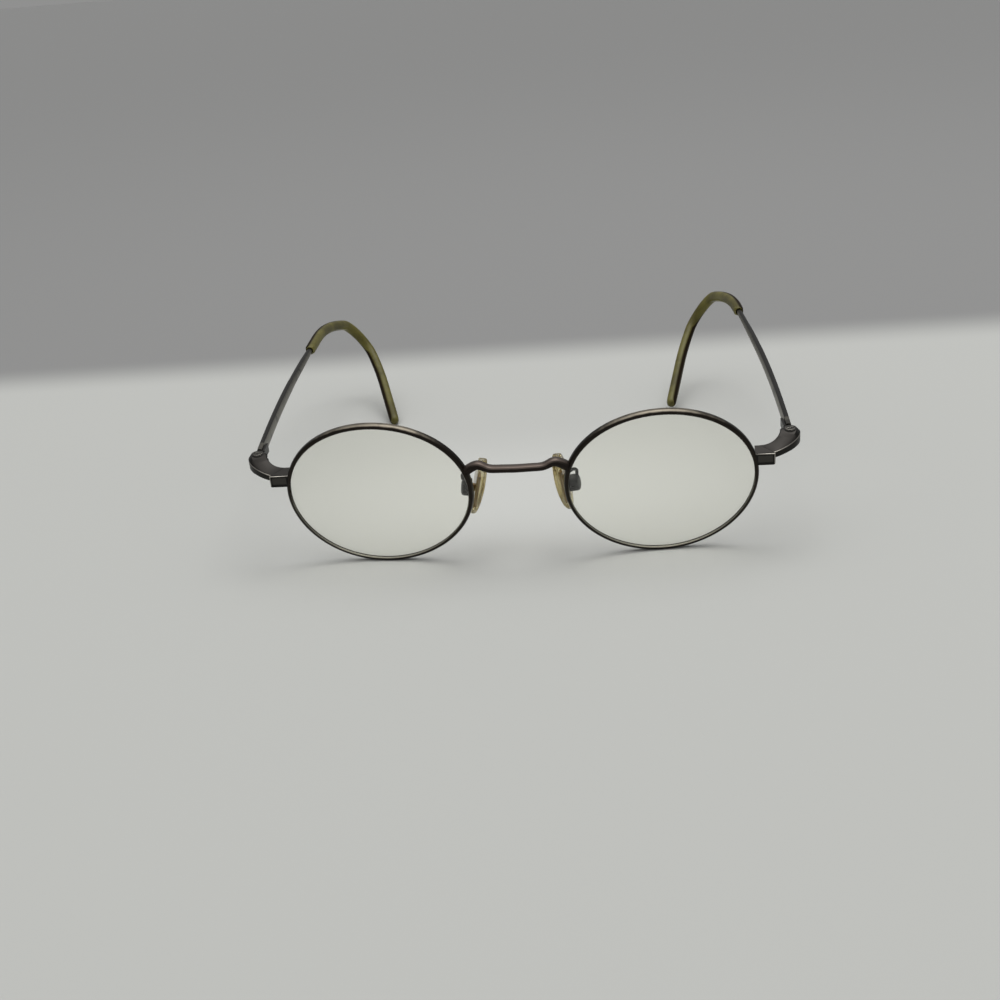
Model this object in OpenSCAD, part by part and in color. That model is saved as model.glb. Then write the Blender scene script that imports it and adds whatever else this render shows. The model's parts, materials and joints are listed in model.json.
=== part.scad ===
// Oval wire eyeglasses with riding-bow temples and plastic ear sleeves, standing open on a table.
// Millimetres. +X runs to the wearer's left, +Y to the back and +Z up, and the table is z = 0.
// The front is drawn upright in its own frame, then the whole is tilted onto its eyewires and ear tips.

/* [Eyewires and lenses] */
// Width of the opening of each eyewire
lens_w = 45.4; // [38:0.1:50]
// Height of the opening of each eyewire
lens_h = 36; // [30:0.1:44]
// Gap between the two openings across the nose
bridge_gap = 24.6; // [20:0.1:30]
// Wall of the eyewire, measured across the face
rim_wall = 0.9; // [0.7:0.05:1.4]
// Depth of the eyewire from front to back
rim_depth = 1.7; // [1.5:0.05:2.4]
// Depth of the groove that holds the lens
groove_depth = 0.4; // [0.25:0.05:0.5]
// Radius of the sphere that the lens and the eyewire follow
lens_curve = 95; // [70:1:200]
// Thickness of each lens
lens_thick = 1.5; // [1:0.1:1.6]
// Angle that each eyewire turns back at the temple
wrap = 4.8; // [0:0.1:8]

/* [Bridge] */
// Height of the bridge bar above the middle of the lenses
bridge_rise = 6.5; // [3:0.1:8]
// Height of the bar's section
bridge_bar = 1.2; // [1:0.05:2]
// Depth of the bar's section
bridge_depth = 2.1; // [1:0.05:2.4]
// How far each hump stands above the bar
bridge_hump = 0.85; // [0:0.05:1.5]
// How far the middle of the bar bows forward
bridge_bow = 0.9; // [0:0.1:3]

/* [Endpieces and hinges] */
// Width of the front plate of each endpiece
plate_w = 4.4; // [3.5:0.1:6]
// Height of the front plate
plate_h = 3; // [2.6:0.1:4]
// Height of the plate's lower edge above the middle of the lenses
plate_low = 1.8; // [0.5:0.1:4]
// Thickness of the front plate
plate_t = 0.8; // [0.6:0.05:1.2]
// Depth of the closing block behind the plate
block_depth = 3; // [2.8:0.1:4.5]
// Distance from the eyewire out to the hinge axis
hinge_out = 8.6; // [7.5:0.1:11]
// Distance from the eyewire back to the hinge axis
hinge_back = 7.4; // [6.6:0.1:10]
// Height of the bottom of the hinge above the middle of the lenses
hinge_low = 4.3; // [3.4:0.1:5]
// Height of the whole hinge
hinge_h = 3.1; // [2.8:0.1:4]
// Radius of the hinge barrel
barrel_r = 2.15; // [1.8:0.05:2.4]
// Height of the tongue's slot in the barrel
slot_h = 1.3; // [1.1:0.1:1.4]
// Gap above and below the tongue, and round its edge
slot_gap = 0.1; // [0.05:0.01:0.2]
// Radius of the hinge screw's shank
hinge_screw_r = 0.6; // [0.5:0.05:0.7]
// Radius of the closing screw's shank
lock_screw_r = 0.5; // [0.4:0.05:0.6]

/* [Temples] */
// Length of each temple from the hinge axis to the first bend
temple_straight = 97; // [85:0.5:115]
// Height of the flat strip at the hinge
strip_h = 3.1; // [2.4:0.1:4]
// Thickness of the flat strip
strip_t = 1.1; // [0.8:0.05:1.4]
// Diameter of the core wire that runs through the ear sleeve
core_d = 1.3; // [1:0.05:1.5]
// How far the strip bows outward at its middle
temple_bow = 1.2; // [0:0.1:3]
// Downward slope of the wearer's left temple, measured from square to the front
left_slope = 3; // [0:0.1:8]
// Downward slope of the wearer's right temple
right_slope = 4.2; // [0:0.1:8]
// How far the wearer's left temple rests folded in from straight back
left_swing = 3.6; // [-2.3:0.1:20]
// How far the wearer's right temple rests folded in from straight back
right_swing = -2.3; // [-2.3:0.1:20]

/* [Ear hooks] */
// Radius of the first, easy bend
bend_r0 = 97; // [40:1:120]
// Turn of the first bend
bend_turn0 = 18.7; // [5:0.1:25]
// Radius of the bend over the top of the ear
bend_r1 = 6.2; // [5:0.1:14]
// Turn of the bend over the top of the ear
bend_turn1 = 129; // [100:1:135]
// Radius of the bend behind the ear
bend_r2 = 61; // [30:1:80]
// Turn of the bend behind the ear
bend_turn2 = 13; // [0:1:20]
// Straight length at the end of the hook
hook_end = 21; // [8:0.5:24]
// Inward lean of the hook
hook_lean = 36.5; // [10:0.5:38]
// Distance from the hinge axis to the start of the wearer's left ear sleeve
left_sleeve_from = 96; // [80:0.5:96]
// Distance from the hinge axis to the start of the wearer's right ear sleeve
right_sleeve_from = 87; // [80:0.5:96]
// Width of the sleeve
sleeve_w = 2.85; // [2.2:0.05:3.4]
// Height of the sleeve
sleeve_h = 3; // [2.2:0.05:3.6]

/* [Nose pads] */
// Length of each nose pad
pad_len = 15; // [12:0.5:15]
// Width of each nose pad
pad_w = 7.5; // [6:0.1:8]
// Thickness of each nose pad
pad_t = 2.1; // [1.6:0.1:2.4]
// Distance from the nasal edge of the eyewire out to the pad screw
pad_in = 2; // [1.6:0.1:2.6]
// Distance from the nasal edge of the eyewire back to the pad screw
pad_back = 5.6; // [5:0.1:7]
// Height of the pad screw, measured from the middle of the lenses
pad_rise = -1.7; // [-4:0.1:1]
// Angle by which the pads draw together towards the top
pad_cant = 10; // [0:0.5:20]
// How far the wearer's left pad rests rocked from that angle
left_rock = -1; // [-6:0.5:6]
// How far the wearer's right pad rests rocked from that angle
right_rock = 4; // [-6:0.5:6]
// Angle by which the pads open towards the back
pad_splay = 8; // [0:0.5:25]
// Radius of the pad box
box_r = 2.1; // [1.9:0.05:2.6]
// Radius of the pad screw's shank
pad_screw_r = 0.4; // [0.3:0.05:0.5]
// Diameter of the pad arm's wire
arm_d = 0.9; // [0.7:0.05:1.1]

/* [Hidden] */

// Clearance between two pieces that are brazed or pressed together
seam = 0.02;
// Radial clearance of a screw's shank in the piece that turns on it
running_gap = 0.05;
// Number of facets round an eyewire
eye_n = 64;
// Number of facets round a wire or a sleeve
wire_n = 10;
$fn = 48;

// The eyewire's own curve

eye_x = (lens_w + bridge_gap) / 2;
half_depth = rim_depth / 2;

// Depth of the lens sphere at a point of the face
function sag(u, z) = lens_curve - sqrt(lens_curve * lens_curve - u * u - z * z);

// A point of the left eyewire in the front's frame: t is the angle, g the distance out from the opening
// and d the distance behind the sphere
function eye_point(t, g, d) =
    let (u = (lens_w / 2 + g) * cos(t), z = (lens_h / 2 + g) * sin(t), y = sag(u, z) + d)
    [eye_x + u * cos(wrap) - y * sin(wrap), u * sin(wrap) + y * cos(wrap), z];

// The angle at which the outside of the eyewire reaches a height
function eye_angle(z) = asin(z / (lens_h / 2 + rim_wall));

plate_top = plate_low + plate_h;
split_z = plate_low + plate_h / 2;
split_angle = eye_angle(split_z);
split_gap = 0.12;

// The outer edge at the temple, which the endpiece follows, and the inner edge at the nose
outer_edge = eye_point(split_angle, rim_wall, 0);
nose_edge = eye_point(180, rim_wall, 0);

hinge_x = outer_edge[0] + hinge_out;
hinge_y = outer_edge[1] + hinge_back;
hinge_top = hinge_low + hinge_h;
hinge_mid = hinge_low + hinge_h / 2;
slot_low = hinge_mid - slot_h / 2;
tongue_r = barrel_r - 0.45;
arm_end_r = barrel_r + 0.3;

// Curves and swept solids

function unit(v) = v / norm(v);

// A point of a smooth curve through the points p, with u counted in points from 0
function through(p, u) =
    let (n = len(p) - 1, i = min(floor(u), n - 1), f = u - i,
        a = p[max(i - 1, 0)], b = p[i], c = p[i + 1], d = p[min(i + 2, n)])
    0.5 * (2 * b + (c - a) * f + (2 * a - 5 * b + 4 * c - d) * f * f
        + (3 * b - a - 3 * c + d) * f * f * f);

// A point of a Bezier curve with four control points
function bezier(p, f) = let (g = 1 - f)
    g * g * g * p[0] + 3 * g * g * f * p[1] + 3 * g * f * f * p[2] + f * f * f * p[3];

// A rounded rectangle with half sizes a and b, set square to the tangent at a point
function section(at, tangent, side, a, b, n, squareness) =
    let (t = unit(tangent), x = unit(side - (side * t) * t), y = cross(x, t))
    [for (i = [0 : n - 1])
        let (q = 360 * (i + 0.5) / n, c = cos(q), s = sin(q))
        at + x * a * sign(c) * pow(abs(c), squareness) + y * b * sign(s) * pow(abs(s), squareness)];

// A closed solid through a list of rings with equal counts of points
module skin(rings) {
    n = len(rings[0]);
    m = len(rings);
    first = [for (i = [n - 1 : -1 : 0]) i];
    last = [for (i = [0 : n - 1]) (m - 1) * n + i];
    sides = [for (j = [0 : m - 2], i = [0 : n - 1], h = [0 : 1])
        let (k = (i + 1) % n, a = j * n + i, b = j * n + k, c = a + n, d = b + n)
        h == 0 ? [a, b, d] : [a, d, c]];
    polyhedron([for (r = rings) each r], concat([first], sides, [last]));
}

// The temple's curve, in the temple's own frame: +Y along the strip from the hinge axis and +Z up

function bend(p, r, turn) =
    [p[0] + r * (sin(p[2] + turn) - sin(p[2])), p[1] - r * (cos(p[2]) - cos(p[2] + turn)), p[2] + turn];
function ahead(p, d) = [p[0] + d * cos(p[2]), p[1] - d * sin(p[2]), p[2]];
function arc_len(r, turn) = r * turn * PI / 180;
function turn_of(r, d) = d / r * 180 / PI;

len_1 = temple_straight;
len_2 = len_1 + arc_len(bend_r0, bend_turn0);
len_3 = len_2 + arc_len(bend_r1, bend_turn1);
len_4 = len_3 + arc_len(bend_r2, bend_turn2);
temple_len = len_4 + hook_end;
key_1 = [temple_straight, 0, 0];
key_2 = bend(key_1, bend_r0, bend_turn0);
key_3 = bend(key_2, bend_r1, bend_turn1);
key_4 = bend(key_3, bend_r2, bend_turn2);

function flat_curve(s) =
    s < len_1 ? [s, 0, 0] :
    s < len_2 ? bend(key_1, bend_r0, turn_of(bend_r0, s - len_1)) :
    s < len_3 ? bend(key_2, bend_r1, turn_of(bend_r1, s - len_2)) :
    s < len_4 ? bend(key_3, bend_r2, turn_of(bend_r2, s - len_3)) : ahead(key_4, s - len_4);
function temple_curve(s) =
    let (p = flat_curve(s), bow = temple_bow * sin(180 * min(s / len_1, 1)))
    [bow + p[1] * tan(hook_lean), p[0], p[1]];
function temple_tangent(s) = temple_curve(s + temple_len / 4000) - temple_curve(s - temple_len / 4000);
function temple_ring(s, a, b, n, squareness) =
    section(temple_curve(s), temple_tangent(s), [1, 0, 0], a, b, n, squareness);

// Gap between the arm's end and the strip, and how far the core stops short of the sleeve's tip
strip_gap = 0.35;
core_short = 5;
strip_start = arm_end_r + strip_gap;
core_end = temple_len - core_short;
// Depth of the sleeve's lip, and how far before the sleeve the strip turns into the core
sleeve_lip = 0.3;
strip_short = 1;
function sleeve_from(side) = side > 0 ? left_sleeve_from : right_sleeve_from;

// Places of the rings along a hook, closest together in the tight bend
function hook_steps(from, to) = concat(
    [for (i = [0 : 6]) from + (len_2 - from) * i / 7],
    [for (i = [0 : 13]) len_2 + (len_3 - len_2) * i / 14],
    [for (i = [0 : 7]) len_3 + (to - len_3) * i / 7]);

// How the glasses stand: tilted until the eyewires and the lower ear tip touch the table

function turn_x(p, a) = [p[0], p[1] * cos(a) - p[2] * sin(a), p[1] * sin(a) + p[2] * cos(a)];
function turn_z(p, a) = [p[0] * cos(a) - p[1] * sin(a), p[0] * sin(a) + p[1] * cos(a), p[2]];
function slope_of(side) = side > 0 ? left_slope : right_slope;
function swing_of(side) = side > 0 ? left_swing : right_swing;
function hung(p, side) =
    turn_z(turn_x(p, -slope_of(side)), swing_of(side)) + [hinge_x, hinge_y, hinge_mid];
tip_r = sleeve_h / 2;
foot = eye_point(270, rim_wall, -half_depth);
function tilt_for(p) = let (d = [p[1] - foot[1], p[2] - foot[2]]) asin(tip_r / norm(d)) - atan2(d[1], d[0]);
stand_tilt = max([for (side = [-1, 1]) tilt_for(hung(temple_curve(temple_len - tip_r), side))]);
stand_lift = -min([for (t = [240 : 2 : 300], d = [-half_depth, half_depth])
    turn_x(eye_point(t, rim_wall, d * 0.6), stand_tilt)[2]]);

// The origin is the middle of the footprint
temple_points = [for (side = [-1, 1], s = [0 : 1 : temple_len], e = [-1, 1])
    let (a = s > sleeve_from(side) ? sleeve_w / 2 : strip_t / 2, p = hung(temple_curve(s), side))
    turn_x([side * (p[0] + e * a), p[1] + tip_r, p[2]], stand_tilt)];
arm_reach = hinge_x + arm_end_r;
bar_front = turn_x([0, -bridge_bow - bridge_depth / 2, bridge_rise], stand_tilt)[1];
home = [(max(arm_reach, max([for (p = temple_points) p[0]]))
    + min(-arm_reach, min([for (p = temple_points) p[0]]))) / 2,
    (max([for (p = temple_points) p[1]]) + bar_front) / 2];

module stand() {
    translate([-home[0], -home[1], stand_lift])
        rotate([stand_tilt, 0, 0])
            children();
}

// Draws a piece of the wearer's left side, or its mirror image on the right
module side_of(side) {
    stand()
        mirror([side < 0 ? 1 : 0, 0, 0])
            children();
}

// Eyewires: a grooved wire bent into an oval and cut where the endpiece closes it

function rim_profile() =
    let (w = rim_wall, h = half_depth, lip = half_depth - 0.2, g = groove_depth)
    [[0, -0.42], [g, -0.15], [g, 0.15], [0, 0.42], [0, lip], [0.15, h], [w * 0.6, h],
        [w, h * 0.6], [w, -h * 0.6], [w * 0.6, -h], [0.15, -h], [0, -lip]];

module eyewire(side) {
    color("dimgray")
        side_of(side)
            skin([for (i = [0 : eye_n])
                let (t = split_angle + split_gap + i * (360 - 2 * split_gap) / eye_n)
                [for (p = rim_profile()) eye_point(t, p[0], p[1])]]);
}

// An upright oval block round the left eyewire's axis, out to a distance g from the opening
module eye_block(g, depth) {
    translate([eye_x, 0, 0])
        rotate([0, 0, wrap])
            rotate([90, 0, 0])
                linear_extrude(height = depth, center = true)
                    polygon([for (i = [0 : eye_n - 1])
                        let (t = split_angle + i * 360 / eye_n)
                        [(lens_w / 2 + g) * cos(t), (lens_h / 2 + g) * sin(t)]]);
}

// The part of a ball shell of the given thickness that lies over the left eye
module eye_shell(thick) {
    translate([eye_x, 0, 0])
        rotate([0, 0, wrap])
            translate([0, lens_curve, 0])
                difference() {
                    sphere(r = lens_curve + thick / 2, $fn = 180);
                    sphere(r = lens_curve - thick / 2, $fn = 180);
                }
}

module lens(side) {
    color([0.82, 0.86, 0.8, 0.4])
        side_of(side)
            union() {
                intersection() {
                    eye_block(-0.05, 30);
                    eye_shell(lens_thick);
                }
                intersection() {
                    eye_block(groove_depth - 0.1, 30);
                    eye_shell(0.3);
                }
            }
}

// Bridge: one bar with a raised hump beside each eyewire

module bridge() {
    z_end = bridge_rise - 1.1;
    weld = eye_point(180 - eye_angle(z_end), rim_wall, 0);
    x_end = weld[0] + rim_wall / 2;
    x_hump = weld[0] - 2.7;
    x_bar = weld[0] - 5.6;
    z_hump = bridge_rise + bridge_hump;
    half = [[0, -bridge_bow, bridge_rise], [x_bar / 2, -bridge_bow * 0.8, bridge_rise],
        [x_bar, -bridge_bow * 0.4, bridge_rise], [x_hump, 0.2, z_hump],
        [x_end, weld[1], z_end]];
    tall = [bridge_bar, bridge_bar, bridge_bar * 1.05, bridge_bar * 1.4, bridge_bar * 1.6] / 2;
    steps = 16;
    bar = [for (i = [-steps : steps])
        let (u = 4 * abs(i) / steps, p = through(half, u), q = through(half, min(u + 0.02, 4)),
            r = through(half, u < 0.02 ? 0 : u - 0.02), s = i < 0 ? -1 : 1,
            d = i == 0 ? [1, 0, 0] : [q[0] - r[0], s * (q[1] - r[1]), s * (q[2] - r[2])])
        section([s * p[0], p[1], p[2]], d, [0, 1, 0], bridge_depth / 2, through(tall, u), 12, 0.6)];
    color("rosybrown")
        stand()
            difference() {
                skin(bar);
                eye_block(rim_wall + seam, 30);
                mirror([1, 0, 0])
                    eye_block(rim_wall + seam, 30);
            }
}

// Endpieces: a framed front plate, an upper closing block, and an arm that sweeps back to the hinge

plate_x = outer_edge[0] - 0.5;
plate_x2 = outer_edge[0] + plate_w;
plate_y = outer_edge[1] - half_depth - 0.05;
block_y = plate_y + plate_t;
block_y2 = block_y + block_depth;
lock_x = outer_edge[0] + plate_w * 0.6;
lock_y = block_y + block_depth * 0.55;

arm_top = slot_low + 0.6;
arm_ledge = arm_top - 0.8;

// Outline of the arm seen from above, drawn in by inset
module arm_outline(inset) {
    r = arm_end_r - inset;
    start = plate_x2 - 0.6 - inset;
    front = block_y + 0.1 + inset;
    outer = [[start, front], [start + 3.5, front + 2.1], [hinge_x + r, hinge_y - 3.6],
        [hinge_x + r, hinge_y]];
    inner = [[hinge_x - r, hinge_y], [hinge_x - r, hinge_y - 2], [plate_x2 + 0.3, block_y2 + 0.1],
        [plate_x, block_y2 - inset]];
    polygon(concat([for (i = [0 : 12]) bezier(outer, i / 12)], [for (i = [0 : 8]) bezier(inner, i / 8)],
        [[plate_x, front]]));
    translate([hinge_x, hinge_y])
        circle(r = r);
}

// The arm's height as it rises from the block to the hinge
module arm_side() {
    y1 = block_y - 1;
    y2 = block_y + 1;
    y3 = hinge_y - arm_end_r - 0.4;
    y4 = hinge_y + arm_end_r + 1;
    translate([hinge_x, 0, 0])
        rotate([90, 0, 90])
            linear_extrude(height = 30, center = true)
                polygon([[y1, split_z + seam], [y2, split_z + seam], [y3, hinge_low], [y4, hinge_low],
                    [y4, arm_top], [y3, arm_top], [y2, plate_top - 0.1], [y1, plate_top - 0.1]]);
}

module hinge_slot() {
    translate([hinge_x, hinge_y, slot_low])
        union() {
            cylinder(r = tongue_r + slot_gap, h = slot_h);
            translate([-6, -1.05, 0])
                cube([9, 6, slot_h]);
        }
}

module endpiece(side) {
    recess = 0.18;
    bevel_n = 4;
    edge = 0.4;
    color("dimgray")
        side_of(side)
            difference() {
                union() {
                    translate([plate_x, plate_y, plate_low])
                        cube([plate_x2 - plate_x, plate_t, plate_h]);
                    translate([plate_x, block_y - 0.1, split_z + seam])
                        cube([plate_x2 - 0.3 - plate_x, block_depth + 0.1, plate_top - 0.1 - split_z]);
                    intersection() {
                        arm_side();
                        for (i = [0 : bevel_n])
                            linear_extrude(height = arm_ledge + (arm_top + 0.1 - arm_ledge) * i / bevel_n)
                                arm_outline(0.18 * i);
                    }
                    translate([hinge_x, hinge_y, hinge_low])
                        cylinder(r = barrel_r, h = hinge_h);
                }
                eye_block(rim_wall + seam, 30);
                translate([outer_edge[0] + 2 * edge, plate_y - 1, plate_low + edge])
                    cube([plate_w - 3 * edge, 1 + recess, plate_h - 2 * edge]);
                translate([plate_x - 1, block_y, plate_low - 1])
                    cube([lock_x + 1.9 - plate_x + 1, block_depth + 1, split_z + seam - plate_low + 1]);
                hinge_slot();
                translate([hinge_x, hinge_y, hinge_low - 1])
                    cylinder(r = hinge_screw_r + seam, h = hinge_h + 2);
                translate([hinge_x, hinge_y, hinge_top - 0.4])
                    cylinder(r = hinge_screw_r * 2 + seam, h = 1);
                translate([lock_x, lock_y, 0])
                    cylinder(r = lock_screw_r + seam, h = plate_top - 0.4);
            }
}

module closing_block(side) {
    color("gray")
        side_of(side)
            difference() {
                translate([plate_x, block_y + seam, plate_low + 0.1])
                    cube([lock_x + 1.7 - plate_x, block_depth - 0.2, split_z - plate_low - 0.1 - seam]);
                eye_block(rim_wall + seam, 30);
                translate([lock_x, lock_y, 0])
                    cylinder(r = lock_screw_r + running_gap, h = split_z + 1);
                translate([lock_x, lock_y, 0])
                    cylinder(r = lock_screw_r * 1.8 + running_gap, h = plate_low + 0.5);
            }
}

// A slotted screw with its head at the origin, pointing down
module screw(shank_r, head_r, head_h, len) {
    difference() {
        union() {
            translate([0, 0, -head_h])
                cylinder(r = head_r, h = head_h);
            translate([0, 0, -len])
                cylinder(r = shank_r, h = len - head_h + 0.01);
        }
        translate([-head_r - 1, -shank_r * 0.25, -head_h * 0.6])
            cube([2 * head_r + 2, shank_r * 0.5, head_h]);
    }
}

module closing_screw(side) {
    color("silver")
        side_of(side)
            translate([lock_x, lock_y, plate_low + 0.1])
                rotate([180, 0, 0])
                    screw(lock_screw_r, lock_screw_r * 1.8, 0.38, plate_h - 0.7);
}

module hinge_screw(side) {
    color("silver")
        side_of(side)
            translate([hinge_x, hinge_y, hinge_top + 0.1])
                rotate([0, 0, 25])
                    screw(hinge_screw_r, hinge_screw_r * 2, 0.48, hinge_h - 0.1);
}

// Temples: a flat strip that tapers into the round core wire of the ear hook

module temple_side(side) {
    side_of(side)
        translate([hinge_x, hinge_y, hinge_mid])
            rotate([0, 0, swing_of(side)])
                children();
}

leaf_t = 0.6;
leaf_x = -strip_t / 2 - leaf_t;

module hinge_leaf(side) {
    tongue_h = slot_h - 2 * slot_gap;
    color("silver")
        temple_side(side)
            difference() {
                union() {
                    cylinder(r = tongue_r, h = tongue_h, center = true);
                    translate([leaf_x, 0, -tongue_h / 2])
                        cube([leaf_t + 0.7, strip_start - 0.1, tongue_h]);
                    rotate([-slope_of(side), 0, 0])
                        translate([leaf_x, strip_start - 0.2, -strip_h * 0.36])
                            cube([leaf_t - seam, 5.2, strip_h * 0.72]);
                }
                cylinder(r = hinge_screw_r + running_gap, h = slot_h + 2, center = true);
            }
}

module temple(side) {
    mouth = sleeve_from(side);
    strip_end = mouth - strip_short;
    strip_n = 12;
    strip = [for (i = [0 : strip_n])
        let (f = i / strip_n, s = strip_start + (strip_end - strip_start) * f,
            a = strip_t / 2 + (core_d / 2 + 0.15 - strip_t / 2) * f,
            b = strip_h / 2 + (core_d / 2 + 0.3 - strip_h / 2) * pow(f, 0.9))
        temple_ring(s, a, b, wire_n, 0.45 + 0.3 * f)];
    core = [for (s = hook_steps(mouth + sleeve_lip, core_end))
        temple_ring(s, core_d / 2, core_d / 2, wire_n, 1)];
    color("slategray")
        temple_side(side)
            rotate([-slope_of(side), 0, 0])
                skin(concat(strip, core));
}

// Ear sleeves: a plastic tube, open at the temple end, with a rounded tip

module ear_sleeve(side) {
    bore = core_d / 2 + running_gap;
    mouth = sleeve_from(side);
    steps = concat(hook_steps(mouth + sleeve_lip, core_end), [core_end + sleeve_lip]);
    inner = [for (i = [len(steps) - 1 : -1 : 0]) temple_ring(steps[i], bore, bore, wire_n, 1)];
    lip = [temple_ring(mouth, core_d / 2 + 0.4, core_d / 2 + 0.5, wire_n, 1)];
    outer = [for (s = hook_steps(mouth + sleeve_lip, temple_len - tip_r))
        temple_ring(s, sleeve_w / 2, sleeve_h / 2, wire_n, 0.85)];
    end = [for (a = [35, 60, 80])
        temple_ring(temple_len - tip_r + tip_r * sin(a), sleeve_w / 2 * cos(a), sleeve_h / 2 * cos(a),
            wire_n, 0.85)];
    color([0.5, 0.5, 0.2, 0.9])
        temple_side(side)
            rotate([-slope_of(side), 0, 0])
                skin(concat(inner, lip, outer, end));
}

// Nose pads: each turns a little on a screw through the box at the end of its wire arm

pad_x = nose_edge[0] + pad_in;
pad_y = nose_edge[1] + pad_back;
box_front = -1;
box_back = 1.6;
pad_face = box_front - 0.75;
lug_h = 1;

module pad_side(side, rock = 0) {
    side_of(side)
        translate([pad_x, pad_y, pad_rise])
            rotate([0, -pad_cant - rock, -pad_splay])
                children();
}

function rock_of(side) = side > 0 ? left_rock : right_rock;

module pad_arm(side) {
    weld = eye_point(180 - eye_angle(pad_rise + 4.3), rim_wall / 2, half_depth + arm_d / 2 - 0.2);
    end = [pad_x + 1, pad_y - 0.1, pad_rise + box_r + 0.335];
    path = [weld, weld + [0.7, 1.2, 0.5], [end[0] - 0.7, end[1] - 1.5, end[2] + 2.1],
        end + [0, -0.3, 1.2], end];
    steps = 20;
    rings = [for (i = [0 : steps])
        let (u = 4 * i / steps)
        section(through(path, u), through(path, min(u + 0.02, 4)) - through(path, max(u - 0.02, 0)),
            [1, -0.4, 0], arm_d / 2, arm_d / 2, 8, 1)];
    color("dimgray")
        side_of(side)
            skin(rings);
}

module pad_box(side) {
    color("dimgray")
        pad_side(side)
            difference() {
                translate([box_front, 0, 0])
                    rotate([0, 90, 0])
                        cylinder(r = box_r, h = box_back - box_front);
                translate([box_front - 1, -lug_h / 2 - 0.1, -1.35])
                    cube([2 - box_front, lug_h + 0.2, 2.7]);
                rotate([90, 0, 0])
                    cylinder(r = pad_screw_r + seam, h = 3 * box_r, center = true);
                translate([0, box_r + 0.6, 0])
                    rotate([90, 0, 0])
                        cylinder(r = pad_screw_r * 1.8 + seam, h = 1);
            }
}

module pad_screw(side) {
    color("silver")
        pad_side(side)
            translate([0, box_r, 0])
                rotate([-90, 0, 0])
                    screw(pad_screw_r, pad_screw_r * 1.8, 0.38, 2 * box_r - 0.3);
}

// The stiff core that the pad is moulded on: a plate with a lug for the screw
module pad_core_shape(gap) {
    translate([pad_face - 0.9 - gap, -1.8 - gap, -4.2 - gap])
        cube([0.5 + 2 * gap, 3.6 + 2 * gap, 8 + 2 * gap]);
    translate([pad_face - 0.6, -lug_h / 2 - gap, -0.85 - gap])
        cube([0.6 - pad_face, lug_h + 2 * gap, 1.7 + 2 * gap]);
}

module pad_core(side) {
    color([0.85, 0.83, 0.7])
        pad_side(side, rock_of(side))
            difference() {
                union() {
                    pad_core_shape(0);
                    rotate([90, 0, 0])
                        cylinder(r = 0.85, h = lug_h, center = true);
                }
                rotate([90, 0, 0])
                    cylinder(r = pad_screw_r + running_gap, h = 4, center = true);
            }
}

// Outline of a pad seen from the nose: an oval that is fuller below
module pad_outline() {
    polygon([for (i = [0 : 31])
        let (t = i * 360 / 32, full = 1 - 0.2 * sin(t))
        [pad_w / 2 * full * cos(t), pad_len / 2 * sin(t) + 0.5]]);
}

module nose_pad(side) {
    crown = 40;
    crown_up = 3;
    color([0.86, 0.8, 0.55, 0.8])
        pad_side(side, rock_of(side))
            difference() {
                intersection() {
                    translate([pad_face, 0, 0])
                        rotate([90, 0, -90])
                            linear_extrude(height = pad_t)
                                pad_outline();
                    translate([pad_face - pad_t + crown, 0, crown_up])
                        sphere(r = crown, $fn = 240);
                }
                pad_core_shape(seam);
            }
}

eyewire(1);  // left_eyewire
eyewire(-1);  // right_eyewire
lens(1);  // left_lens
lens(-1);  // right_lens
bridge();
endpiece(1);  // left_endpiece
endpiece(-1);  // right_endpiece
closing_block(1);  // left_closing_block
closing_block(-1);  // right_closing_block
closing_screw(1);  // left_closing_screw
closing_screw(-1);  // right_closing_screw
hinge_screw(1);  // left_hinge_screw
hinge_screw(-1);  // right_hinge_screw
hinge_leaf(1);  // left_hinge_leaf
hinge_leaf(-1);  // right_hinge_leaf
temple(1);  // left_temple
temple(-1);  // right_temple
ear_sleeve(1);  // left_ear_sleeve
ear_sleeve(-1);  // right_ear_sleeve
pad_arm(1);  // left_pad_arm
pad_arm(-1);  // right_pad_arm
pad_box(1);  // left_pad_box
pad_box(-1);  // right_pad_box
pad_screw(1);  // left_pad_screw
pad_screw(-1);  // right_pad_screw
pad_core(1);  // left_pad_core
pad_core(-1);  // right_pad_core
nose_pad(1);  // left_nose_pad
nose_pad(-1);  // right_nose_pad
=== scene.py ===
import json
import math

import bmesh
import bpy
from mathutils import Euler, Matrix, Vector

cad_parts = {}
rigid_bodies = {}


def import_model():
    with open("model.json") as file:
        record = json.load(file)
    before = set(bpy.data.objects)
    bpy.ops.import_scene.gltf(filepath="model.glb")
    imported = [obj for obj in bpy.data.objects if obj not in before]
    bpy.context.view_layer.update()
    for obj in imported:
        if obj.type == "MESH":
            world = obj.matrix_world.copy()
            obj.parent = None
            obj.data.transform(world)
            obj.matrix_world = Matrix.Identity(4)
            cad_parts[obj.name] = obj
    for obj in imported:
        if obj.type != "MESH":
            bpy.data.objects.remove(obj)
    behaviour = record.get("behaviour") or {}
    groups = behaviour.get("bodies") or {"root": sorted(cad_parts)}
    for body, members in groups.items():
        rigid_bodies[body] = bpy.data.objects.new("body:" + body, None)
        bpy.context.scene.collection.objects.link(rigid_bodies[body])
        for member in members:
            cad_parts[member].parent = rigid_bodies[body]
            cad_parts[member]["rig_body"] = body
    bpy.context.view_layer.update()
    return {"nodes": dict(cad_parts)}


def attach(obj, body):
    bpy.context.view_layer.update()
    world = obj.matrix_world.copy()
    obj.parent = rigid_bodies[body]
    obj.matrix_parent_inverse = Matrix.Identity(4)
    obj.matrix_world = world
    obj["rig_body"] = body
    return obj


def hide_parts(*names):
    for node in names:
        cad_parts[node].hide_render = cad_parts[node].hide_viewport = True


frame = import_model()

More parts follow.
